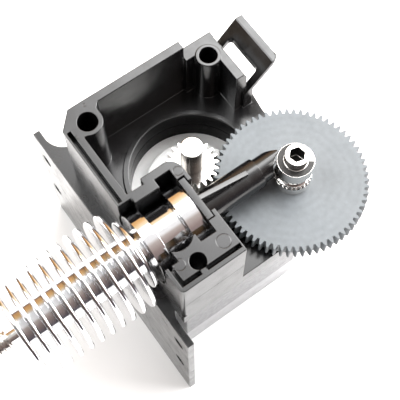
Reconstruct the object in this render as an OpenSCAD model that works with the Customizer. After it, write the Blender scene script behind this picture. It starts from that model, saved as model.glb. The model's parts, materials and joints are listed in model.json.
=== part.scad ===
// Geared filament extruder with a stepper motor, mounting bracket and finned heat sink.
// Millimetres, +Z along the motor axis, the motor stands on its rear face at z = 0.

/* [Motor] */
// side of the square motor body
motor_side = 42.3; // [35:0.1:60]
// length of the motor body without its pilot
motor_len = 40; // [30:0.5:60]
// spacing of the four motor screws
motor_pitch = 31; // [26:0.1:48]
// diameter of the motor shaft
shaft_d = 5; // [4:0.1:8]
// how far the shaft stands out of the front face
shaft_out = 22.1; // [15:0.1:30]

/* [Gears] */
// gear module
gear_mod = 0.5; // [0.4:0.05:1]
// teeth on the large gear
wheel_teeth = 66; // [40:1:90]
// teeth on the motor pinion
pinion_teeth = 22; // [12:1:30]
// thickness taken off each tooth for backlash
tooth_slack = 0.06; // [0.02:0.01:0.2]

/* [Housing] */
// height of the housing above its lower face
housing_h = 22; // [18:0.5:30]
// thickness of the bracket between housing and motor
bracket_t = 5; // [3:0.5:8]
// thickness of the housing floor
floor_t = 4.3; // [3:0.1:6]
// radius of the round well around the pinion
well_r = 14.2; // [12:0.1:15]

/* [Heat sink] */
// x position of the filament line
line_x = 11.5; // [11:0.1:12]
// diameter of the large fins
fin_d = 22.3; // [18:0.1:26]
// number of large fins
fin_count = 11; // [6:1:14]
// distance from fin to fin
fin_pitch = 2.5; // [2:0.1:4]
// thickness of one fin
fin_t = 1; // [0.6:0.1:1.5]

/* [Hidden] */
$fn = 72;
eps = 0.01;
half = motor_side / 2;
screw = motor_pitch / 2;
face_z = motor_len;
body_z = face_z + bracket_t;
top_z = body_z + housing_h;
floor_z = body_z + floor_t;
rim_z = floor_z + 0.6;
low_z = top_z - 3.8;
line_z = top_z - 8.7;
shaft_r = shaft_d / 2;
centre = gear_mod * (wheel_teeth + pinion_teeth) / 2;
hob = centre / sqrt(2);
wheel_z = rim_z + 0.3;
wheel_t = 3.8;
wheel_top = wheel_z + wheel_t;
pinion_top = wheel_top - 0.4;
hub_z = face_z + 3.4;
sink_y = -8;
sink_len = 12.7 + fin_pitch * (fin_count + 1);
sink_end = sink_y - sink_len;
stator_z = 9.5;
cap_z = 31;
slots = 8;

// ---- helpers

// point on an involute of base radius b at unwind angle t, turned by a
function inv_pt(b, t, a) = [b * (cos(t + a) + t * PI / 180 * sin(t + a)),
    b * (sin(t + a) - t * PI / 180 * cos(t + a))];

// unwind angle at which the involute of base b reaches radius r
function inv_t(b, r) = sqrt(max(0, r * r / (b * b) - 1)) * 180 / PI;

// involute polar angle at radius r
function inv_a(b, r) = inv_t(b, r) - acos(b / r);

// mirror a list of points about the x axis, in reverse order
function flip(p) = [for (i = [len(p) - 1:-1:0]) [p[i][0], -p[i][1]]];

// one tooth outline centred on +x
function tooth(z, m, slack) = let (
    rp = z * m / 2,
    b = rp * cos(20),
    ro = rp + m,
    rr = rp - 1.25 * m,
    ha = (PI * m / 2 - slack) / 2 / rp * 180 / PI,
    a0 = -ha - inv_a(b, rp),
    r0 = max(rr, b),
    side = [for (i = [0:4]) let (r = r0 + (ro - r0) * i / 4) inv_pt(b, inv_t(b, r), a0)],
    root = rr < b ? [[rr * cos(a0), rr * sin(a0)]] : [],
    low = concat(root, side)
    ) concat(low, flip(low));

// turn a point by angle a
function turn(p, a) = [p[0] * cos(a) - p[1] * sin(a), p[0] * sin(a) + p[1] * cos(a)];

module gear_outline(z, m, slack) {
    t = tooth(z, m, slack);
    polygon([for (k = [0:z - 1]) for (q = t) turn(q, k * 360 / z)]);
}

module ring(ro, ri, h) {
    difference() {
        cylinder(r = ro, h = h);
        translate([0, 0, -1]) cylinder(r = ri, h = h + 2);
    }
}

module balls(r, br, n, z) {
    for (k = [0:n - 1])
        rotate([0, 0, k * 360 / n]) translate([r, 0, z]) sphere(r = br, $fn = 24);
}

// solid of revolution about the filament line, profile [radius, distance below y0]
module line_turned(y0, p) {
    translate([line_x, y0, line_z]) rotate([90, 0, 0]) rotate_extrude() polygon(p);
}

module line_rod(r, y1, y2) {
    translate([line_x, y2, line_z]) rotate([90, 0, 0]) cylinder(r = r, h = y2 - y1);
}

module corners(r, z, h) {
    for (x = [-screw, screw]) for (y = [-screw, screw])
        translate([x, y, z]) cylinder(r = r, h = h);
}

module motor_square() {
    c = 4.2;
    polygon([[-half + c, -half], [half - c, -half], [half, -half + c], [half, half - c],
        [half - c, half], [-half + c, half], [-half, half - c], [-half, -half + c]]);
}

// ---- housing

module floor_shape() {
    polygon([[-20.4, -17.4], [-16.6, -21], [26.3, -21], [26.3, 16.3], [20.3, 22.3],
        [-3.4, 22.3], [-9.5, 23.2], [-9.5, 20.4], [-20.4, 20.4]]);
    translate([20.3, 16.3]) circle(r = 6);
}

module slab(x1, y1, x2, y2, z1, z2) {
    translate([x1, y1, z1]) cube([x2 - x1, y2 - y1, z2 - z1]);
}

// upright profile [y, z] drawn out along x
module along_x(x1, x2) {
    translate([x1, 0, 0]) rotate([90, 0, 90]) linear_extrude(x2 - x1) children();
}

module housing_solid() {
    translate([0, 0, body_z]) linear_extrude(floor_t) floor_shape();
    // tall wall along the left and lower sides, with the chamfered corner
    translate([0, 0, body_z]) linear_extrude(housing_h)
        polygon([[-20.4, 11], [-20.4, -17.4], [-16.6, -21], [4, -21], [4, -18], [-12.9, -18],
            [-12.2, -15.5], [-15.5, -12.2], [-17.2, -12.2], [-18.3, -11.2], [-18.3, 11]]);
    // screw boss in the tall corner
    translate([-screw, -screw, body_z]) cylinder(r = 3.3, h = housing_h);
    // lower wall, boss and top wall of the upper corner
    translate([0, 0, body_z]) linear_extrude(low_z - body_z)
        polygon([[-20.4, 10.8], [-17.2, 10.8], [-17.2, 13], [-15.5, 17], [-7, 17],
            [-7, 19.1], [-15.5, 19.1], [-15.5, 19.4], [-20.4, 19.4]]);
    translate([-screw, screw, body_z]) cylinder(r = 2.8, h = low_z - body_z + 0.3);
    // sloped back of the top wall
    along_x(-15.5, -7) polygon([[18, body_z], [19.9, body_z], [19.9, top_z - 5.5], [19.1, low_z],
        [18, low_z]]);
    // tension screw holder: a plate that leans outwards
    along_x(-20.2, -6.3) polygon([[19, body_z], [21.4, body_z], [21.4, top_z - 11.3],
        [28.2, top_z - 4.5], [26.4, top_z - 4.5], [19, top_z - 11.9]]);
    // block that clamps the heat sink, and the arm beside it
    translate([0, 0, body_z]) linear_extrude(housing_h) union() {
        polygon([[2.7, -18], [2.9, -14], [1.5, -13.9], [1.4, -8.4], [4.4, -8.4], [4.4, -5.4],
            [26.3, -5.4], [26.3, -20], [25.3, -21], [3.9, -21]]);
        translate([4.4, -8.4]) circle(r = 3);
        translate([25.3, -20]) circle(r = 1);
    }
    // raised rim round the pinion well
    translate([0, 0, floor_z - 0.1]) linear_extrude(rim_z - floor_z + 0.1) difference() {
        circle(r = well_r + 1.3);
        circle(r = well_r - 1);
    }
}

module housing_cuts() {
    // pinion well
    translate([0, 0, body_z - 1]) cylinder(r = well_r, h = rim_z - body_z + 1, $fn = 96);
    // lid groove along the lower wall
    slab(-15.7, -20.5, 3.4, -19.6, top_z - 3, top_z + 1);
    // lid groove round the outer corner of the block
    slab(20.4, -20.2, 25.2, -19.3, top_z - 3, top_z + 1);
    slab(24.4, -20.2, 25.2, -15.4, top_z - 3, top_z + 1);
    slab(24.4, -14, 25.2, -5.8, top_z - 3, top_z + 1);
    // heat sink seat: upper collar, neck and lower collar
    line_rod(8.1, sink_y - 3.75, sink_y);
    slab(line_x - 8.1, sink_y - 3.75, line_x + 8.1, sink_y, line_z, top_z + 1);
    line_rod(6.1, sink_y - 9.8, sink_y - 3);
    slab(line_x - 6.1, sink_y - 9.8, line_x + 6.1, sink_y - 3, line_z, top_z + 1);
    line_rod(8.3, -22, sink_y - 9.7);
    slab(line_x - 7.5, -22, line_x + 8.9, sink_y - 9.7, line_z, top_z + 1);
    // hollow beside the neck
    translate([15.3, -15.2, line_z + 1]) cylinder(r = 3.7, h = 12);
    // guide plate seat and the way out for the guide
    slab(line_x - 5.4, sink_y - eps, line_x + 5.4, -6.3, line_z - 8.4, top_z + 1);
    slab(line_x - 3.9, -6.5, line_x + 3.9, -5, line_z - 8.4, top_z + 1);
    // screw holes
    translate([-screw, -screw, body_z - 1]) cylinder(r = 1.7, h = 40);
    translate([-screw, -screw, floor_z]) cylinder(r = 2.2, h = 40);
    translate([-screw, screw, body_z - 1]) cylinder(r = 1.7, h = 40);
    translate([-screw, screw, floor_z]) cylinder(r = 2.0, h = 40);
    translate([22.6, -14.6, top_z - 14]) cylinder(r = 1.75, h = 20);
    // bearing seat under the large gear
    translate([hob, hob, body_z + 0.4]) cylinder(r = 5, h = 12);
    translate([hob, hob, body_z - 1]) cylinder(r = 3.6, h = 3);
    // slot through the tension screw holder, with its rounded far corners
    slab(-18.2, 19.9, -8.1, 22.8, body_z - 1, top_z);
    slab(-17.2, 22.7, -9.1, 23.8, body_z - 1, top_z);
    for (x = [-17.2, -9.1]) translate([x, 22.8, body_z - 1]) cylinder(r = 1, h = housing_h);
    // rounded far corner of the holder
    translate([-8.1, 26.4, top_z - 9]) difference() {
        cube([3, 3, 6]);
        translate([0, 0, -1]) cylinder(r = 1.8, h = 8);
    }
    // notch between the upper corner and the holder
    slab(-18.9, 19.3, -16.2, 20.3, low_z - 2.5, low_z + 1);
}

module body_housing() {
    color([0.05, 0.05, 0.055]) difference() {
        housing_solid();
        housing_cuts();
    }
}

// ---- bracket

module bracket_plan() {
    difference() {
        polygon([[-31.2, -23.5], [31.2, -23.5], [31.2, -21.8], [25.4, -21.8], [21.2, -17.6],
            [21.2, 21.2], [-23.4, 21.2], [-23.4, -16.6], [-28.6, -21.8], [-31.2, -21.8]]);
        translate([-28.6, -16.6]) circle(r = 5.2);
        translate([25.4, -17.6]) circle(r = 4.2);
    }
}

module mounting_bracket() {
    color([0.05, 0.05, 0.055]) difference() {
        union() {
            translate([0, 0, face_z]) linear_extrude(bracket_t) bracket_plan();
            slab(-31.2, -23.5, 31.2, -21.8, 0, body_z);
        }
        translate([0, 0, face_z - 1]) cylinder(r = well_r, h = 10, $fn = 96);
        corners(1.7, face_z - 1, 10);
        for (x = [-27.4, 27.4]) for (z = [19, 36.5])
            translate([x, -20, z]) rotate([90, 0, 0]) cylinder(r = 1.7, h = 6);
    }
}

// ---- filament guide

module filament_guide() {
    color([0.05, 0.05, 0.055]) difference() {
        union() {
            slab(line_x - 5.2, -7.9, line_x + 5.2, -6.4, line_z - 8.3, top_z - 0.3);
            line_rod(3.4, -6.5, 8.8);
            line_rod(2.9, -6.5, 14.6);
            translate([line_x - 0.55, 0, 0]) rotate([90, 0, 90]) linear_extrude(1.1)
                polygon([[-6.5, top_z - 0.9], [6, line_z + 4], [6, line_z], [-6.5, line_z]]);
        }
        translate([hob, hob, line_z - 10]) cylinder(r = 4.5, h = 20);
        line_rod(1.25, -9, 20);
        // wider mouth beside the hob
        line_turned(14.7, [[0, 0], [1.9, 0], [1.25, 2.2], [0, 2.2]]);
        // slanted side of the beak towards the pressing roller
        translate([line_x - 2.8, 11.9, line_z - 10]) rotate([0, 0, -34]) slab(-8, -3, 0, 9, 0, 20);
    }
}

// ---- gear train

module drive_gear() {
    color([0.32, 0.33, 0.35]) translate([hob, hob, wheel_z]) difference() {
        linear_extrude(wheel_t) rotate([0, 0, 225 + 180 / wheel_teeth])
            gear_outline(wheel_teeth, gear_mod, tooth_slack);
        for (z = [0, wheel_t]) translate([0, 0, z]) rotate_extrude()
            polygon([[12.1, 0], [12.9, -0.35], [13.9, -0.35], [14.7, 0], [13.9, 0.35], [12.9, 0.35]]);
        translate([0, 0, -1]) cylinder(r = 3.5, h = 10);
    }
}

module hobbed_shaft() {
    n = 26;
    band = line_z - 1.6;
    color([0.75, 0.74, 0.72]) translate([hob, hob, 0]) difference() {
        union() {
            translate([0, 0, body_z + 0.3]) cylinder(r = shaft_r, h = 12);
            translate([0, 0, wheel_z]) cylinder(r = 3.5, h = wheel_t + 1);
            translate([0, 0, wheel_top]) cylinder(r = 4.1, h = band - wheel_top);
            translate([0, 0, band]) linear_extrude(3.2) polygon([for (k = [0:2 * n - 1])
                let (r = k % 2 == 0 ? 3.98 : 3.62) [r * cos(k * 180 / n), r * sin(k * 180 / n)]]);
            translate([0, 0, band + 3.2]) cylinder(r = 4, h = top_z - 3.7 - band - 3.2);
            translate([0, 0, top_z - 4]) cylinder(r = shaft_r, h = 3);
        }
        // groove that bites the filament
        rotate_extrude() translate([hob - line_x, line_z]) circle(r = 1.05);
        // hexagon socket
        translate([0, 0, top_z - 4.6]) rotate([0, 0, 15]) cylinder(r = 1.75, h = 9, $fn = 6);
    }
}

module hob_bearing_outer_ring() {
    color([0.7, 0.71, 0.73]) translate([hob, hob, body_z + 0.4]) ring(5, 4.2, 3.9);
}

module hob_bearing_inner_ring() {
    color([0.7, 0.71, 0.73]) translate([hob, hob, body_z + 0.4]) ring(3.3, shaft_r, 3.9);
}

module hob_bearing_balls() {
    color([0.8, 0.8, 0.8]) translate([hob, hob, 0]) balls(3.75, 0.43, 9, body_z + 2.3);
}

module pinion_gear() {
    color([0.8, 0.79, 0.76]) difference() {
        union() {
            translate([0, 0, hub_z]) cylinder(r = 4.8, h = 5);
            translate([0, 0, hub_z + 4.6]) linear_extrude(pinion_top - hub_z - 4.6)
                rotate([0, 0, 45]) gear_outline(pinion_teeth, gear_mod, tooth_slack);
        }
        translate([0, 0, hub_z - 1]) cylinder(r = shaft_r, h = 30);
        translate([0, 0, hub_z + 2.3]) rotate([0, 90, 150]) cylinder(r = 1.25, h = 9);
    }
}

module pinion_grub_screw() {
    color([0.12, 0.12, 0.12]) translate([0, 0, hub_z + 2.3]) rotate([0, 90, 150])
        translate([0, 0, shaft_r + 0.05]) difference() {
            cylinder(r = 1.25, h = 2.2);
            translate([0, 0, 1]) cylinder(r = 0.75, h = 3, $fn = 6);
        }
}

module motor_shaft() {
    color([0.72, 0.71, 0.69]) translate([0, 0, 1.8]) cylinder(r = shaft_r, h = face_z + shaft_out - 1.8);
}

module rotor_cup(z, turned) {
    n = 25;
    color([0.35, 0.35, 0.36]) translate([0, 0, z]) difference() {
        linear_extrude(8.6) polygon([for (k = [0:4 * n - 1]) let (
            a = (floor(k / 4) + [0, 0.38, 0.45, 0.93][k % 4]) * 360 / n + turned,
            r = k % 4 < 2 ? 11 : 10.3) [r * cos(a), r * sin(a)]]);
        translate([0, 0, -1]) cylinder(r = shaft_r, h = 20);
    }
}

module rotor_rear_core() {
    rotor_cup(stator_z + 1, 0);
}

module rotor_magnet() {
    color([0.5, 0.5, 0.52]) translate([0, 0, stator_z + 9.6]) ring(9.8, shaft_r, 2.3);
}

module rotor_front_core() {
    rotor_cup(stator_z + 11.9, 7.2);
}

// ---- motor case

module motor_front_cap() {
    color([0.78, 0.78, 0.79]) difference() {
        union() {
            translate([0, 0, cap_z]) linear_extrude(face_z - cap_z) motor_square();
            translate([0, 0, face_z - 1]) cylinder(r = 11, h = 3);
        }
        translate([0, 0, cap_z - 1]) ring(17.4, 8.6, 4.4);
        translate([0, 0, cap_z - 1]) cylinder(r = 6.5, h = 7.5);
        translate([0, 0, cap_z]) cylinder(r = 3.4, h = 20);
        corners(1.5, cap_z - 1, 4.5);
        corners(1.25, face_z - 4.5, 10);
    }
}

module slot_place() {
    for (k = [0:slots - 1]) rotate([0, 0, k * 360 / slots]) children();
}

module motor_stator() {
    color([0.45, 0.45, 0.47]) translate([0, 0, stator_z]) difference() {
        linear_extrude(cap_z - stator_z) union() {
            difference() {
                motor_square();
                circle(r = 17.2);
            }
            difference() {
                union() {
                    slot_place() translate([11.6, -2.1]) square([6.4, 4.2]);
                    slot_place() translate([11.2, -3.2]) square([1.5, 6.4]);
                }
                circle(r = 11.2);
            }
        }
        corners(1.6, -1, 40);
    }
}

module motor_bobbins() {
    color([0.9, 0.88, 0.82]) slot_place() difference() {
        slab(12.9, -2.5, 16.8, 2.5, stator_z - 0.6, cap_z + 0.6);
        slab(12, -2.1, 18, 2.1, stator_z, cap_z);
    }
}

module motor_windings() {
    color([0.72, 0.4, 0.18]) slot_place() difference() {
        slab(13.1, -4, 16.6, 4, stator_z - 2.2, cap_z + 2.2);
        slab(12, -2.5, 18, 2.5, stator_z - 0.6, cap_z + 0.6);
    }
}

module motor_rear_cap() {
    color([0.78, 0.78, 0.79]) difference() {
        linear_extrude(stator_z) motor_square();
        translate([0, 0, stator_z - 3.4]) ring(17.4, 8.6, 6);
        translate([0, 0, 1.2]) cylinder(r = 6.5, h = 20);
        corners(1.6, -1, 20);
        corners(2.9, -1, 3.2);
        slab(-8, 17, 8, 24, 1, stator_z - 2.6);
    }
}

module motor_case_screws() {
    color([0.6, 0.6, 0.62]) for (x = [-screw, screw]) for (y = [-screw, screw])
        translate([x, y, 0.2]) difference() {
            union() {
                cylinder(r = 2.75, h = 2);
                cylinder(r = 1.5, h = cap_z + 3);
            }
            translate([0, 0, -1]) cylinder(r = 1.25, h = 2, $fn = 6);
        }
}

module front_bearing_outer_ring() {
    color([0.7, 0.71, 0.73]) translate([0, 0, cap_z + 2.4]) ring(6.5, 5.3, 4);
}

module front_bearing_inner_ring() {
    color([0.7, 0.71, 0.73]) translate([0, 0, cap_z + 2.4]) ring(3.7, shaft_r, 4);
}

module front_bearing_balls() {
    color([0.8, 0.8, 0.8]) balls(4.5, 0.78, 9, cap_z + 4.4);
}

module rear_bearing_outer_ring() {
    color([0.7, 0.71, 0.73]) translate([0, 0, 1.6]) ring(6.5, 5.3, 4);
}

module rear_bearing_inner_ring() {
    color([0.7, 0.71, 0.73]) translate([0, 0, 1.6]) ring(3.7, shaft_r, 4);
}

module rear_bearing_balls() {
    color([0.8, 0.8, 0.8]) balls(4.5, 0.78, 9, 3.6);
}

module bearing_wave_washer() {
    color([0.6, 0.6, 0.58]) translate([0, 0, 1.2]) ring(6.4, 5.2, 0.4);
}

module motor_connector() {
    color([0.92, 0.91, 0.86]) difference() {
        slab(-7.9, 17.2, 7.9, 25.2, 1.1, stator_z - 2.7);
        slab(-7.1, 19, 7.1, 26, 1.9, stator_z - 3.5);
        for (k = [0:5]) slab(2 * k - 5.3, 16, 2 * k - 4.7, 20, 3.7, 4.3);
    }
}

module connector_pins() {
    color([0.8, 0.72, 0.45]) for (k = [0:5]) slab(2 * k - 5.3, 17.2, 2 * k - 4.7, 24.4, 3.7, 4.3);
}

// ---- hot side

module heat_sink() {
    r = fin_d / 2;
    first = 12.7 + 1.5;
    color([0.85, 0.85, 0.86]) difference() {
        union() {
            line_turned(sink_y, [[0, 0], [8, 0], [8, 3.7], [6, 3.7], [6, 9.7], [8, 9.7],
                [8, 12.7], [4.6, 12.7], [4.6, sink_len], [0, sink_len]]);
            line_turned(sink_y - first, [[0, 0], [7.8, 0], [8, 0.25], [8, 0.75], [7.8, 1], [0, 1]]);
            for (k = [1:fin_count])
                line_turned(sink_y - first - k * fin_pitch, [[0, 0], [r - 0.25, 0], [r, 0.3],
                    [r, fin_t - 0.3], [r - 0.25, fin_t], [0, fin_t]]);
        }
        line_rod(2.1, sink_end - 1, 0);
        line_rod(3.5, sink_end - 1, sink_end + 10.2);
        line_rod(4.4, sink_y - 5.5, 0);
    }
}

module heat_break() {
    color([0.7, 0.69, 0.67]) difference() {
        union() {
            line_rod(3.5, sink_end, sink_end + 10.2);
            line_rod(1.45, sink_end - 2.2, sink_end + 1);
            line_rod(2.95, sink_end - 7.2, sink_end - 2.1);
        }
        line_rod(1, sink_end - 9, 0);
        line_rod(2.1, sink_end + 4.4, 0);
    }
}

module liner_tube() {
    color([0.93, 0.93, 0.9]) difference() {
        line_rod(2, sink_end + 4.5, sink_y - 0.1);
        line_rod(1, sink_end, 0);
    }
}

module liner_collet() {
    color([0.08, 0.08, 0.08]) difference() {
        line_rod(3.2, sink_y - 5.4, sink_y - 0.1);
        line_rod(2.05, sink_y - 9, 0);
    }
}

module collet_ring() {
    color([0.75, 0.6, 0.3]) difference() {
        line_rod(4.4, sink_y - 5.4, sink_y - 0.1);
        line_rod(3.25, sink_y - 9, 0);
    }
}

body_housing();
mounting_bracket();
filament_guide();
drive_gear();
hobbed_shaft();
hob_bearing_outer_ring();
hob_bearing_inner_ring();
hob_bearing_balls();
pinion_gear();
pinion_grub_screw();
motor_shaft();
rotor_front_core();
rotor_magnet();
rotor_rear_core();
motor_front_cap();
motor_stator();
motor_bobbins();
motor_windings();
motor_rear_cap();
motor_case_screws();
front_bearing_outer_ring();
front_bearing_inner_ring();
front_bearing_balls();
rear_bearing_outer_ring();
rear_bearing_inner_ring();
rear_bearing_balls();
bearing_wave_washer();
motor_connector();
connector_pins();
heat_sink();
heat_break();
liner_tube();
liner_collet();
collet_ring();
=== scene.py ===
"""Looks of a geared filament extruder: moulded housing on a stepper motor, gears and a finned heat sink."""

import json
import math

import bmesh
import bpy
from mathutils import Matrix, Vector
from mathutils.bvhtree import BVHTree

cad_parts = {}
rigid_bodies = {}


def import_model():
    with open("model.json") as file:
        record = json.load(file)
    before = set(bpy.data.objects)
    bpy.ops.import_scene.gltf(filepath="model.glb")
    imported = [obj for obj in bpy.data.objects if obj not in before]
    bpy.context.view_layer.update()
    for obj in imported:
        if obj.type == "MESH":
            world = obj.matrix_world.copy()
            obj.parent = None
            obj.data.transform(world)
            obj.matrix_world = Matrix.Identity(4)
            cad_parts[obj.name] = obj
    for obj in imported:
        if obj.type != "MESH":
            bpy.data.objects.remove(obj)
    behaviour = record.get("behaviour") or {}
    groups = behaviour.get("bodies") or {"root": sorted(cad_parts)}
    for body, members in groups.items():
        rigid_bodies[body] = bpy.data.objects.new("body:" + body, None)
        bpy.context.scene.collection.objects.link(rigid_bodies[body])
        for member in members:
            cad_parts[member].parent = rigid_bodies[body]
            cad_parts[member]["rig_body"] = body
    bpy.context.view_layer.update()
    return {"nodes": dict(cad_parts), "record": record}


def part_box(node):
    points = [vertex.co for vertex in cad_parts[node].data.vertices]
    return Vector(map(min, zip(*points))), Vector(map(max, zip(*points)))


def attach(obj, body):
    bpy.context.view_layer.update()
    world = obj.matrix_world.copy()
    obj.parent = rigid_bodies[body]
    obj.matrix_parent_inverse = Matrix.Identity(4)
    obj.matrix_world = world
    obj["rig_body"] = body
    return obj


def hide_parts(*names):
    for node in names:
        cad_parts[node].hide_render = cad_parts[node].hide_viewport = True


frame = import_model()
MM = 0.001

# The camera looks along AZIMUTH and down ELEVATION at AIM, in degrees and metres.
AZIMUTH = 54.25
ELEVATION = 67.84
DISTANCE = 0.1953
AIM = Vector((8.1, -3.7, 54.0)) * MM
FOCAL_MM = 81.45
SENSOR_MM = 36.0

# The window: its direction, how bright it is, the degrees from its middle at which its glow is full and ends,
# and the degrees from the +x horizon over which its frame cuts it off.
WINDOW = Vector((-0.4, 0.7, 0.59)).normalized()
WINDOW_LIGHT = 9.0
GLOW_FULL, GLOW_END = 20.0, 44.0
FRAME_START, FRAME_END = 118.0, 130.0

# Lamps: name, place and power in watts. Each is a square of LAMP_SIDE metres.
LAMPS = (("far_side", (0.28, 0.64, 0.42), 10.0), ("near_side", (-0.35, -0.5, 0.75), 8.5))
LAMP_SIDE = 0.6


# The room's colours, at places from the +x horizon (0) over the top to the -x horizon (1).
ROOM = (
    (0.0, (0.11, 0.11, 0.14)),
    (0.1, (0.2, 0.16, 0.16)),
    (0.25, (0.34, 0.26, 0.24)),
    (0.378, (0.56, 0.48, 0.44)),
    (0.44, (1.0, 0.98, 0.97)),
    (0.656, (1.0, 1.0, 1.0)),
    (0.71, (0.9, 0.74, 0.62)),
    (0.76, (0.93, 0.66, 0.34)),
    (0.83, (0.93, 0.53, 0.2)),
    (0.917, (0.8, 0.43, 0.19)),
    (0.967, (0.42, 0.28, 0.2)),
    (1.0, (0.3, 0.27, 0.27)),
)


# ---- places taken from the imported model


def node_centre(node):
    low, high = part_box(node)
    return (low + high) / 2


def node_body(node):
    return frame["nodes"][node]["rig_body"]


HOB = node_centre("hobbed_shaft")
LINE = node_centre("liner_tube")
HOUSING_LOW, HOUSING_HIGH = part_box("body_housing")
TOP_Z = HOUSING_HIGH.z
WELL_RADIUS = 14.2 * MM
MOTOR_FACE_Z = HOUSING_LOW.z - 5.0 * MM
WELL_RIM_Z = HOUSING_LOW.z + 4.5 * MM

# Marks that the mould left on the housing: its seam's height, and x, y and radius of each ejector pin in mm.
SEAM_Z = HOUSING_LOW.z + 12.0 * MM
EJECTOR_PINS = (
    (22.2, -8.1, 1.5),
    (21.1, -18.0, 1.24),
    (4.6, -6.7, 1.0),
    (-13.4, 6.0, 1.2),
    (-19.2, -13.9, 0.35),
    (-13.7, -19.3, 0.35),
)


# ---- node trees


def add_node(tree, kind, settings=None, **sockets):
    """A shader node. Sockets are named in lower case with underscores, and take a value or another socket."""
    made = tree.nodes.new(kind)
    for key, value in (settings or {}).items():
        setattr(made, key, value)
    names = {s.name.lower().replace(" ", "_"): s for s in reversed(made.inputs)}
    for key, value in sockets.items():
        socket = made.inputs[int(key[1:])] if key[0] == "i" and key[1:].isdigit() else names[key]
        if isinstance(value, bpy.types.NodeSocket):
            tree.links.new(value, socket)
        else:
            socket.default_value = value
    return made


def rgb(red, green, blue):
    return (red, green, blue, 1.0)


class Finish:
    """A procedural material: a Principled shader fed by nodes that work in metres."""

    def __init__(self, name, colour, roughness, metallic=0.0, **more):
        self.material = bpy.data.materials.new(name)
        self.material.use_nodes = True
        self.tree = self.material.node_tree
        self.shader = self.tree.nodes["Principled BSDF"]
        self.place = add_node(self.tree, "ShaderNodeTexCoord").outputs["Object"]
        self.set(base_color=rgb(*colour), roughness=roughness, metallic=metallic, **more)
        self.heights = []

    def set(self, **sockets):
        names = {s.name.lower().replace(" ", "_"): s for s in self.shader.inputs}
        for key, value in sockets.items():
            if isinstance(value, bpy.types.NodeSocket):
                self.tree.links.new(value, names[key])
            else:
                names[key].default_value = value

    def noise(self, size, detail=2.0, vector=None):
        """Noise from 0 to 1 whose blotches are about size metres across."""
        return add_node(self.tree, "ShaderNodeTexNoise", vector=vector or self.place,
                        scale=1 / size, detail=detail).outputs["Fac"]

    def math(self, operation, first, second=0.0):
        return add_node(self.tree, "ShaderNodeMath", {"operation": operation}, i0=first, i1=second).outputs[0]

    def span(self, value, low, high, to_low, to_high):
        return add_node(self.tree, "ShaderNodeMapRange", value=value, from_min=low, from_max=high,
                        to_min=to_low, to_max=to_high).outputs[0]

    def mix(self, amount, first, second):
        return add_node(self.tree, "ShaderNodeMix", {"data_type": "RGBA"}, i0=amount,
                        i6=rgb(*first), i7=rgb(*second)).outputs[2]

    def axial(self, axis, centre=(0, 0, 0)):
        """(distance from an axis, place along it) as sockets."""
        moved = add_node(self.tree, "ShaderNodeVectorMath", {"operation": "SUBTRACT"},
                         i0=self.place, i1=tuple(centre)).outputs[0]
        along = "XYZ".index(axis)
        flat = [0.0 if i == along else 1.0 for i in range(3)]
        across = add_node(self.tree, "ShaderNodeVectorMath", {"operation": "MULTIPLY"}, i0=moved, i1=flat)
        radius = add_node(self.tree, "ShaderNodeVectorMath", {"operation": "LENGTH"}, i0=across.outputs[0])
        parts = add_node(self.tree, "ShaderNodeSeparateXYZ", vector=moved)
        return radius.outputs["Value"], parts.outputs[along]

    def ripple(self, distance, pitch):
        """A wave from -1 to 1 that repeats every pitch metres."""
        return self.math("SINE", self.math("MULTIPLY", distance, 2 * math.pi / pitch))

    def raise_by(self, height, metres):
        """Adds a height from 0 to 1, scaled to metres, to the surface's relief."""
        self.heights.append((height, metres))

    def done(self):
        normal = None
        for height, metres in self.heights:
            sockets = {"height": height, "distance": metres, "strength": 1.0}
            if normal is not None:
                sockets["normal"] = normal
            normal = add_node(self.tree, "ShaderNodeBump", **sockets).outputs[0]
        if normal is not None:
            self.set(normal=normal)
        return self.material


# ---- materials


def moulded_base(name, colour, roughness):
    """Injection-moulded plastic: fine grain, patches of more and less gloss, and a slight sink."""
    f = Finish(name, colour, roughness, specular_ior_level=0.8)
    patches = f.noise(4.0 * MM, 3.0)
    f.set(roughness=f.span(patches, 0.3, 0.7, roughness - 0.05, roughness + 0.07))
    darker = tuple(0.8 * c for c in colour)
    f.set(base_color=f.mix(f.noise(1.6 * MM, 4.0), darker, tuple(1.2 * c for c in colour)))
    f.raise_by(f.noise(0.12 * MM, 2.0), 0.0000015)
    f.raise_by(f.noise(6.0 * MM, 1.0), 0.00001)
    return f


def shine_with_painted_well_shade(f, rim):
    """Specular level of a moulding, turned almost off on the wall round the motor shaft below the rim's
    height: painted shade in the deep well.
    """
    away, along = f.axial("Z")
    beyond = f.span(away, WELL_RADIUS + 0.1 * MM, WELL_RADIUS + 0.5 * MM, 0.02, 0.8)
    above = f.span(along, rim, rim + 0.3 * MM, 0.02, 0.8)
    return f.math("MAXIMUM", beyond, above)


def bracket_plastic():
    f = moulded_base("bracket_moulding", (0.004, 0.004, 0.0044), 0.22)
    # The bracket's wall round the motor shaft is made matt: painted shade in the well.
    f.set(specular_ior_level=shine_with_painted_well_shade(f, TOP_Z))
    return f.done()


def moulded(name, colour, roughness):
    return moulded_base(name, colour, roughness).done()


def turned(name, colour, roughness, axis, centre, pitch=0.08 * MM, depth=0.0000008):
    """Metal from the lathe: fine rings round the axis and along it, and a little mottle."""
    f = Finish(name, colour, roughness, 1.0)
    radius, along = f.axial(axis, centre)
    wander = f.noise(0.9 * MM, 3.0)
    rings = f.math("ADD", f.ripple(radius, pitch), f.ripple(along, pitch * 1.3))
    f.raise_by(f.math("MULTIPLY", rings, wander), depth)
    f.set(roughness=f.span(wander, 0.3, 0.7, roughness * 0.75, roughness * 1.35))
    f.set(base_color=f.mix(wander, tuple(0.93 * c for c in colour), colour))
    return f.done()


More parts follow.
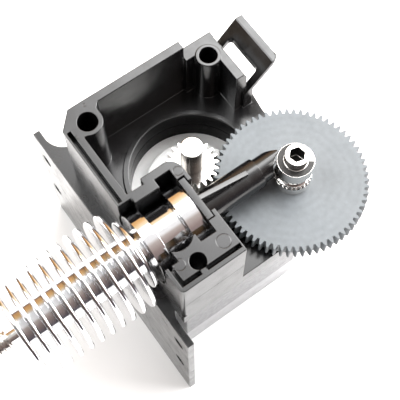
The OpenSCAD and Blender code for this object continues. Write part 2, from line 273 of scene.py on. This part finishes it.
def housing_plastic():
    """The housing's moulding, with the rings left by ejector pins and the seam of the mould halves."""
    f = moulded_base("housing_moulding", (0.004, 0.004, 0.0044), 0.2)
    parts = add_node(f.tree, "ShaderNodeSeparateXYZ", vector=f.place)
    for x, y, radius in EJECTOR_PINS:
        away, _ = f.axial("Z", (x * MM, y * MM, 0))
        off = f.math("ABSOLUTE", f.math("SUBTRACT", away, radius * MM))
        f.raise_by(f.span(off, 0.02 * MM, 0.1 * MM, 0.0, 1.0), 0.00003)
    off = f.math("ABSOLUTE", f.math("SUBTRACT", parts.outputs["Z"], SEAM_Z))
    outer = f.span(parts.outputs["X"], HOUSING_HIGH.x - 0.2 * MM, HOUSING_HIGH.x - 0.1 * MM, 0.0, 1.0)
    seam = f.math("MULTIPLY", f.span(off, 0.08 * MM, 0.2 * MM, 1.0, 0.0), outer)
    f.raise_by(seam, 0.00009)
    seam_shine = f.span(seam, 0.0, 1.0, 1.0, 0.4)
    # The wall in the well below the rim is made matt, painted shade; the seam is duller.
    f.set(specular_ior_level=f.math("MULTIPLY", shine_with_painted_well_shade(f, WELL_RIM_Z), seam_shine))
    return f.done()


def gear_plastic():
    """Dark grey acetal with the faint rings of its mould."""
    f = Finish("gear_acetal", (0.145, 0.16, 0.17), 0.5, specular_ior_level=0.5)
    radius, _ = f.axial("Z", HOB)
    rings = f.math("MULTIPLY", f.ripple(radius, 1.9 * MM), f.noise(3.0 * MM))
    tone = f.math("ADD", f.math("MULTIPLY", rings, 0.15), f.noise(1.2 * MM, 5.0))
    f.set(base_color=f.mix(f.span(tone, 0.2, 0.9, 0.0, 1.0), (0.126, 0.139, 0.148), (0.163, 0.18, 0.192)))
    f.set(roughness=f.span(f.noise(5.0 * MM, 3.0), 0.3, 0.7, 0.42, 0.56))
    f.raise_by(f.noise(0.1 * MM, 2.0), 0.000002)
    f.raise_by(f.ripple(radius, 0.35 * MM), 0.0000003)
    return f.done()


def cast_metal(name, colour, roughness):
    """Die-cast metal: pebbled skin and dull patches."""
    f = Finish(name, colour, roughness, 1.0)
    f.set(roughness=f.span(f.noise(2.5 * MM, 3.0), 0.3, 0.7, roughness - 0.08, roughness + 0.1))
    f.set(base_color=f.mix(f.noise(0.7 * MM, 4.0), tuple(0.85 * c for c in colour), colour))
    f.raise_by(f.noise(0.25 * MM, 3.0), 0.00001)
    return f.done()


def front_metal():
    """The motor's front: cast grey at its sides, and in the well round the shaft a machined face made
    near-white and part non-metallic, partly its finish and partly painted light.
    """
    f = Finish("front_metal", (0.56, 0.56, 0.57), 0.36, 1.0)
    away, along = f.axial("Z")
    within = f.span(away, WELL_RADIUS + 0.2 * MM, WELL_RADIUS + 0.4 * MM, 1.0, 0.0)
    on_face = f.span(along, MOTOR_FACE_Z - 0.4 * MM, MOTOR_FACE_Z - 0.3 * MM, 0.0, 1.0)
    # Machined face in the well: partly its real finish, partly painted light that makes it read bright.
    bright = f.math("MULTIPLY", within, on_face)
    f.set(base_color=f.mix(bright, (0.56, 0.56, 0.57), (0.98, 0.98, 0.97)))
    f.set(metallic=f.span(bright, 0.0, 1.0, 1.0, 0.2))
    f.set(roughness=f.span(f.noise(2.0 * MM, 3.0), 0.3, 0.7, 0.3, 0.44))
    f.raise_by(f.noise(0.25 * MM, 3.0), 0.000004)
    return f.done()


def laminated():
    """Half-millimetre steel sheets stacked along the motor's axis."""
    f = Finish("stacked_steel", (0.42, 0.42, 0.44), 0.42, 1.0)
    _, along = f.axial("Z")
    sheets = f.ripple(along, 0.5 * MM)
    f.raise_by(sheets, 0.00001)
    mottle = f.math("MULTIPLY", f.noise(0.8 * MM, 4.0), 0.4)
    tone = f.math("ADD", f.span(sheets, -1.0, 1.0, 0.0, 0.6), mottle)
    f.set(base_color=f.mix(tone, (0.17, 0.17, 0.175), (0.42, 0.42, 0.43)))
    f.set(roughness=f.span(f.noise(1.5 * MM), 0.3, 0.7, 0.34, 0.5))
    return f.done()


def wound_wire():
    """Enamelled copper wire laid side by side."""
    f = Finish("wound_wire", (0.72, 0.36, 0.16), 0.3, 0.9, coat_weight=0.4)
    _, along = f.axial("Z")
    turns = f.ripple(along, 0.32 * MM)
    f.raise_by(turns, 0.00004)
    # Colour follows the turns, darker in the grooves between them: painted shade.
    f.set(base_color=f.mix(f.span(turns, -1.0, 1.0, 0.0, 1.0), (0.3, 0.12, 0.05), (0.8, 0.42, 0.18)))
    return f.done()


def ground_shaft():
    """The motor shaft: its end face painted bright and its side painted dark, a painted highlight and painted
    shade for what each reflects.
    """
    f = Finish("ground_shaft", (0.8, 0.78, 0.75), 0.14, 1.0)
    _, along = f.axial("Z")
    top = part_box("motor_shaft")[1].z
    # Painted highlight on the end face and painted shade on the side, split at the shaft's top.
    f.set(base_color=f.mix(f.span(along, top - 0.35 * MM, top - 0.25 * MM, 0.0, 1.0),
                           (0.17, 0.155, 0.145), (0.85, 0.83, 0.8)))
    f.set(roughness=f.span(f.noise(0.9 * MM, 3.0), 0.3, 0.7, 0.11, 0.2))
    f.raise_by(f.ripple(along, 0.1 * MM), 0.0000006)
    return f.done()


def black_oxide():
    f = Finish("black_oxide", (0.03, 0.03, 0.032), 0.38, 0.7)
    f.set(roughness=f.span(f.noise(0.4 * MM, 4.0), 0.3, 0.7, 0.28, 0.5))
    f.set(base_color=f.mix(f.noise(0.5 * MM, 4.0), (0.02, 0.02, 0.021), (0.05, 0.048, 0.045)))
    f.raise_by(f.noise(0.1 * MM, 2.0), 0.000002)
    return f.done()


MATERIALS = {
    "black_moulding": moulded("black_moulding", (0.004, 0.004, 0.0044), 0.22),
    "gear_plastic": gear_plastic(),
    "steel": turned("turned_steel", (0.92, 0.9, 0.87), 0.14, "Z", HOB),
    "bearing_steel": turned("ground_steel", (0.8, 0.8, 0.81), 0.12, "Z", HOB),
    "black_steel": black_oxide(),
    "cast_aluminium": cast_metal("cast_aluminium", (0.5, 0.5, 0.51), 0.34),
    "electrical_steel": laminated(),
    "copper_wire": wound_wire(),
    "white_plastic": moulded("white_nylon", (0.6, 0.59, 0.54), 0.42),
    "sink_aluminium": turned("turned_aluminium", (0.86, 0.86, 0.875), 0.1, "Y", LINE),
    "ptfe": moulded("white_tube", (0.82, 0.82, 0.79), 0.35),
    "brass": turned("turned_brass", (0.78, 0.58, 0.28), 0.22, "Y", LINE),
    "magnet": cast_metal("plated_magnet", (0.5, 0.5, 0.52), 0.3),
}
SLOTS = {s["node"]: s["material_slot"] for s in frame["record"]["subparts"]}


def finish_like(piece, node):
    """Gives the piece the material of that CAD node's slot and lets it ride on the node's body."""
    piece.data.materials.clear()
    piece.data.materials.append(MATERIALS[SLOTS[node]])
    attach(piece, node_body(node))
    return piece


# ---- pieces made from CAD nodes

# Edges that turn by more than this are rounded and shaded as edges.
SHARP_DEGREES = 32


def linked(name, mesh):
    made = bpy.data.objects.new(name, mesh)
    bpy.context.scene.collection.objects.link(made)
    return made


def applied(piece):
    """Applies the piece's modifiers to its mesh."""
    depsgraph = bpy.context.evaluated_depsgraph_get()
    mesh = bpy.data.meshes.new_from_object(piece.evaluated_get(depsgraph))
    piece.modifiers.clear()
    piece.data = mesh
    return piece


def shade(piece, degrees=SHARP_DEGREES):
    """Smooth shading that keeps edges sharper than this angle."""
    mesh = piece.data
    mesh.shade_smooth()
    mesh.set_sharp_from_angle(angle=math.radians(degrees))
    return piece


def clean_copy(name, node, joined):
    """A copy of a CAD node with whole flat faces, and with corners closer than joined made one."""
    piece = linked(name, bpy.data.meshes.new(name))
    bm = bmesh.new()
    bm.from_mesh(frame["nodes"][node].data)
    bmesh.ops.remove_doubles(bm, verts=bm.verts, dist=joined)
    bmesh.ops.dissolve_limit(bm, angle_limit=math.radians(0.3), verts=bm.verts, edges=bm.edges)
    bm.to_mesh(piece.data)
    bm.free()
    return piece


def round_edges(piece, width, segments):
    """Bevels the sharp edges, and draws corners that shot past the old surface back onto it."""
    old = piece.data
    surface = BVHTree.FromPolygons([v.co for v in old.vertices], [p.vertices[:] for p in old.polygons])
    bevel = piece.modifiers.new("round", "BEVEL")
    bevel.width = width
    bevel.segments = segments
    bevel.limit_method = "ANGLE"
    bevel.angle_limit = math.radians(SHARP_DEGREES)
    bevel.use_clamp_overlap = False
    bevel.miter_outer = "MITER_SHARP"
    applied(piece)
    for vertex in piece.data.vertices:
        place, _, _, distance = surface.find_nearest(vertex.co)
        if distance > 0.6 * width:
            vertex.co = place
    return piece


def steady_normals(piece):
    """Lets flat faces shade flat and only the rounded edges turn."""
    shade(piece)
    steady = piece.modifiers.new("steady", "WEIGHTED_NORMAL")
    steady.keep_sharp = True
    steady.weight = 100
    return applied(piece)


def refined(node, name, width, segments):
    """A CAD node with its edges rounded, in its place."""
    piece = clean_copy(name, node, min(0.25 * width, 0.00005))
    round_edges(piece, width, segments)
    steady_normals(piece)
    finish_like(piece, node)
    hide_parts(node)
    return piece


# Node, piece made from it, width of its rounded edges in mm, and segments across each.
ROUNDED = (
    ("body_housing", "housing_moulding", 0.16, 3),
    ("mounting_bracket", "angle_bracket", 0.2, 3),
    ("filament_guide", "guide_moulding", 0.12, 2),
    ("heat_sink", "turned_heat_sink", 0.08, 2),
    ("drive_gear", "spur_wheel", 0.05, 1),
    ("pinion_gear", "motor_pinion", 0.05, 1),
    ("hobbed_shaft", "hobbed_arbor", 0.1, 2),
    ("motor_shaft", "output_shaft", 0.3, 2),
    ("motor_front_cap", "front_casting", 0.25, 2),
    ("motor_rear_cap", "rear_casting", 0.25, 2),
    ("motor_stator", "stator_stack", 0.1, 1),
    ("motor_case_screws", "case_screws", 0.15, 2),
    ("motor_connector", "lead_socket", 0.15, 2),
    ("liner_collet", "tube_collet", 0.1, 2),
    ("collet_ring", "brass_collet_ring", 0.1, 2),
    ("liner_tube", "tube", 0.05, 1),
)
for node, name, width, segments in ROUNDED:
    refined(node, name, width * MM, segments)

# Pieces whose finish differs from the rest of their slot.
OWN_FINISH = {
    "housing_moulding": housing_plastic(),
    "angle_bracket": bracket_plastic(),
    "front_casting": front_metal(),
    "motor_pinion": turned("pinion_steel", (0.82, 0.8, 0.76), 0.12, "Z", (0, 0, 0)),
    "output_shaft": ground_shaft(),
}
for name, finish in OWN_FINISH.items():
    bpy.data.objects[name].data.materials[0] = finish


def paint_socket_shade():
    """The inside of the hexagon socket in the hobbed shaft gets the black finish as painted shade, in place
    of the dark of the deep socket.
    """
    mesh = bpy.data.objects["hobbed_arbor"].data
    # Second material: the black oxide finish, used here as painted shade on the socket's walls and end.
    mesh.materials.append(MATERIALS["black_steel"])
    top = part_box("hobbed_shaft")[1].z
    for face in mesh.polygons:
        height = face.center.z
        away = (face.center - Vector((HOB.x, HOB.y, height))).length
        on_wall = away < 1.9 * MM and height > top - 3.7 * MM and abs(face.normal.z) < 0.3
        on_end = away < 1.0 * MM and top - 3.9 * MM < height < top - 0.3 * MM
        if on_wall or on_end:
            face.material_index = 1


paint_socket_shade()


def thread_depth(turns, turn):
    """Depth of a thread, 0 at the crest and 1 at the root, some turns along and part of a turn round."""
    place = (turns - turn) % 1.0
    return max(0.0, min(1.0, 4.0 * abs(place - 0.5) - 0.5))


def threaded_stud():
    """The heat break: sleeve in the heat sink, thin neck and an M6 thread on the free end."""
    low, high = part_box("heat_break")
    end, sleeve_end = low.y, high.y
    stud_top, neck_top, liner_end = end + 5.1 * MM, end + 7.2 * MM, sleeve_end - 5.8 * MM
    crest, root, pitch = 2.95 * MM, 2.4 * MM, 1.0 * MM
    sleeve, neck, bore, liner = 3.5 * MM, 1.45 * MM, 1.0 * MM, 2.1 * MM
    rows = [(sleeve_end, liner), (sleeve_end, sleeve - 0.1 * MM), (sleeve_end - 0.1 * MM, sleeve),
            (neck_top, sleeve), (neck_top, neck), (stud_top, neck), (stud_top, root - 0.1 * MM)]
    steps = 60
    for i in range(steps + 1):
        rows.append((stud_top + (end - stud_top) * i / steps, None))
    rows += [(end, bore), (liner_end, bore), (liner_end, liner)]
    count = 96
    bm = bmesh.new()
    rings = []
    for y, radius in rows:
        ring = []
        for k in range(count):
            turn = k / count
            r = radius
            if r is None:
                edge = min(1.0, (stud_top - y) / (0.5 * MM), (y - end) / (0.5 * MM))
                thread = crest - (crest - root) * thread_depth((stud_top - y) / pitch, turn)
                r = min(thread, root + (crest - root) * edge)
            a = 2 * math.pi * turn
            ring.append(bm.verts.new((LINE.x + r * math.cos(a), y, LINE.z + r * math.sin(a))))
        rings.append(ring)
    for one, two in zip(rings, rings[1:] + rings[:1]):
        for k in range(count):
            bm.faces.new((one[k], one[k - 1], two[k - 1], two[k]))
    bmesh.ops.recalc_face_normals(bm, faces=bm.faces)
    piece = linked("threaded_heat_break", bpy.data.meshes.new("threaded_heat_break"))
    bm.to_mesh(piece.data)
    bm.free()
    shade(piece, 40)
    finish_like(piece, "heat_break")
    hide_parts("heat_break")


threaded_stud()
for node, solid in frame["nodes"].items():
    if not solid.hide_render:
        solid.data.materials.clear()
        solid.data.materials.append(MATERIALS[SLOTS[node]])


# ---- room


def make_floor():
    bm = bmesh.new()
    bmesh.ops.create_grid(bm, x_segments=4, y_segments=4, size=3.0)
    floor = linked("floor", bpy.data.meshes.new("floor"))
    bm.to_mesh(floor.data)
    bm.free()
    floor.location.z = -0.02 * MM
    paper = Finish("white_table", (0.92, 0.92, 0.92), 0.7)
    paper.set(roughness=paper.span(paper.noise(40 * MM), 0.3, 0.7, 0.62, 0.78))
    floor.data.materials.append(paper.done())


def aimed(location, target):
    return (target - location).to_track_quat("-Z", "Y").to_euler()


def make_lamp(name, place, watts):
    lamp = bpy.data.lights.new(name, "AREA")
    lamp.shape = "SQUARE"
    lamp.size = LAMP_SIDE
    lamp.energy = watts
    made = bpy.data.objects.new(name, lamp)
    made.location = Vector(place)
    made.rotation_euler = aimed(made.location, AIM)
    bpy.context.scene.collection.objects.link(made)


def make_world():
    """A pale room with a broad window high on the far side, brown and dimmer towards the near side."""
    world = bpy.data.worlds.new("studio")
    bpy.context.scene.world = world
    world.use_nodes = True
    tree = world.node_tree
    way = add_node(tree, "ShaderNodeTexCoord").outputs["Generated"]
    parts = add_node(tree, "ShaderNodeSeparateXYZ", vector=way)
    turn = add_node(tree, "ShaderNodeMath", {"operation": "ARCTAN2"}, i0=parts.outputs["Z"],
                    i1=parts.outputs["X"])
    place = add_node(tree, "ShaderNodeMapRange", value=turn.outputs[0], from_min=0.0, from_max=math.pi)
    ramp = add_node(tree, "ShaderNodeValToRGB", fac=place.outputs[0])
    band = ramp.color_ramp
    while len(band.elements) < len(ROOM):
        band.elements.new(0.5)
    for element, (where, colour) in zip(band.elements, ROOM):
        element.position = where
        element.color = rgb(*colour)
    near = add_node(tree, "ShaderNodeMapRange", value=parts.outputs["Y"], from_min=-0.2, from_max=0.12,
                    to_min=0.3, to_max=1.1)
    room = add_node(tree, "ShaderNodeVectorMath", {"operation": "SCALE"}, i0=ramp.outputs["Color"],
                    scale=near.outputs[0])
    facing = add_node(tree, "ShaderNodeVectorMath", {"operation": "DOT_PRODUCT"}, i0=way, i1=tuple(WINDOW))
    glow = add_node(tree, "ShaderNodeMapRange", {"interpolation_type": "SMOOTHSTEP"},
                    value=facing.outputs["Value"], from_min=math.cos(math.radians(GLOW_END)),
                    from_max=math.cos(math.radians(GLOW_FULL)), to_min=0.0, to_max=WINDOW_LIGHT)
    frame_edge = add_node(tree, "ShaderNodeMapRange", value=turn.outputs[0],
                          from_min=math.radians(FRAME_START), from_max=math.radians(FRAME_END),
                          to_min=1.0, to_max=0.08)
    pane = add_node(tree, "ShaderNodeMath", {"operation": "MULTIPLY"}, i0=glow.outputs[0],
                    i1=frame_edge.outputs[0])
    both = add_node(tree, "ShaderNodeVectorMath", {"operation": "ADD"}, i0=room.outputs[0],
                    i1=pane.outputs[0])
    tree.links.new(both.outputs[0], tree.nodes["Background"].inputs["Color"])
    tree.nodes["Background"].inputs["Strength"].default_value = 1.0


def make_camera():
    a, e = math.radians(AZIMUTH), math.radians(ELEVATION)
    look = Vector((-math.sin(a) * math.cos(e), math.cos(a) * math.cos(e), -math.sin(e)))
    lens = bpy.data.cameras.new("camera")
    lens.lens = FOCAL_MM
    lens.sensor_width = SENSOR_MM
    lens.clip_start = 0.01
    made = bpy.data.objects.new("camera", lens)
    made.location = AIM - look * DISTANCE
    made.rotation_euler = look.to_track_quat("-Z", "Y").to_euler()
    bpy.context.scene.collection.objects.link(made)
    bpy.context.scene.camera = made


make_floor()
make_world()
make_camera()
for name, place, watts in LAMPS:
    make_lamp(name, place, watts)
bpy.context.scene.view_settings.view_transform = "Standard"
